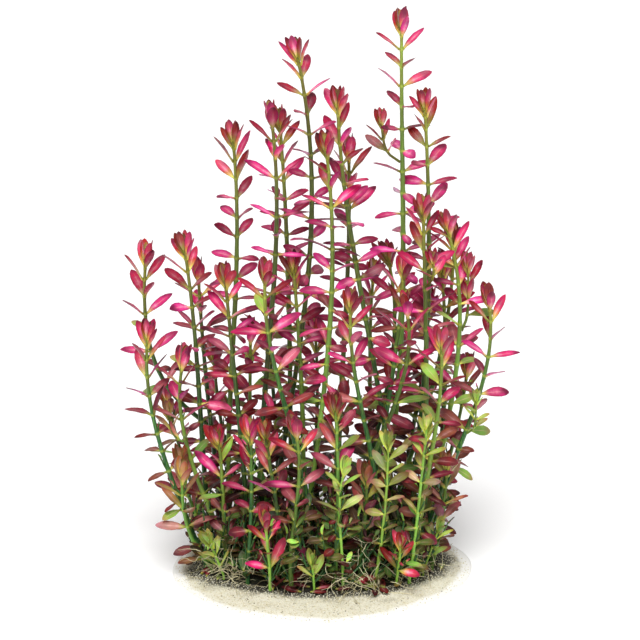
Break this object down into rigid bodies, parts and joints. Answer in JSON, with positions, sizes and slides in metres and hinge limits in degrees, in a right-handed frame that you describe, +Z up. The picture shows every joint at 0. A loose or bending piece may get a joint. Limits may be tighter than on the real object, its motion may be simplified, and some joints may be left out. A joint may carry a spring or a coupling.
{
  "type": "aquarium stem plant clump",
  "caption": "Upright clump of red stem plants with opposite leaves, knit by a root mat on a flat patch of sand, for an aquarium scene.",
  "frame": {"origin": "middle of the sand patch's flat underside, on the surface that the clump rests on", "axes": "+Z up along the stems, -Y towards the front of the clump, +X to the right seen from the front"},
  "size_m": [0.2138, 0.1617, 0.3003],
  "materials": {
    "sand": "fine pale grains, dull",
    "roots": "dark matted roots with pale fibres, dull",
    "tall_shoots": "crimson leaves on olive green stems, satin",
    "middle_shoots": "crimson leaves on green stems, satin",
    "low_shoots": "wine, pink and green leaves on green stems, satin",
    "back_shoots": "dark crimson leaves on green stems, satin",
    "side_shoots": "young red and green leaves on light green stems, satin"
  },
  "bodies": {
    "root": {"sand_patch": "sand", "root_mat": "roots", "tall_shoot_01": "tall_shoots", "tall_shoot_02": "tall_shoots", "tall_shoot_03": "tall_shoots", "tall_shoot_04": "tall_shoots", "tall_shoot_05": "tall_shoots", "tall_shoot_06": "tall_shoots", "tall_shoot_07": "tall_shoots", "tall_shoot_08": "tall_shoots", "tall_shoot_09": "tall_shoots", "tall_shoot_10": "tall_shoots", "middle_shoot_01": "middle_shoots", "middle_shoot_02": "middle_shoots", "middle_shoot_03": "middle_shoots", "middle_shoot_04": "middle_shoots", "middle_shoot_05": "middle_shoots", "middle_shoot_06": "middle_shoots", "middle_shoot_07": "middle_shoots", "middle_shoot_08": "middle_shoots", "middle_shoot_09": "middle_shoots", "middle_shoot_10": "middle_shoots", "middle_shoot_11": "middle_shoots", "middle_shoot_12": "middle_shoots", "middle_shoot_13": "middle_shoots", "middle_shoot_14": "middle_shoots", "middle_shoot_15": "middle_shoots", "middle_shoot_16": "middle_shoots", "middle_shoot_17": "middle_shoots", "low_shoot_01": "low_shoots", "low_shoot_02": "low_shoots", "low_shoot_03": "low_shoots", "low_shoot_04": "low_shoots", "low_shoot_05": "low_shoots", "low_shoot_06": "low_shoots", "low_shoot_07": "low_shoots", "low_shoot_08": "low_shoots", "low_shoot_09": "low_shoots", "low_shoot_10": "low_shoots", "low_shoot_11": "low_shoots", "low_shoot_12": "low_shoots", "low_shoot_13": "low_shoots", "low_shoot_14": "low_shoots", "low_shoot_15": "low_shoots", "low_shoot_16": "low_shoots", "low_shoot_17": "low_shoots", "back_shoot_01": "back_shoots", "back_shoot_02": "back_shoots", "back_shoot_03": "back_shoots", "back_shoot_04": "back_shoots", "back_shoot_05": "back_shoots", "back_shoot_06": "back_shoots", "back_shoot_07": "back_shoots", "back_shoot_08": "back_shoots", "back_shoot_09": "back_shoots", "side_shoot_01": "side_shoots", "side_shoot_02": "side_shoots", "side_shoot_03": "side_shoots", "side_shoot_04": "side_shoots", "side_shoot_05": "side_shoots"}
  },
  "joints": []
}
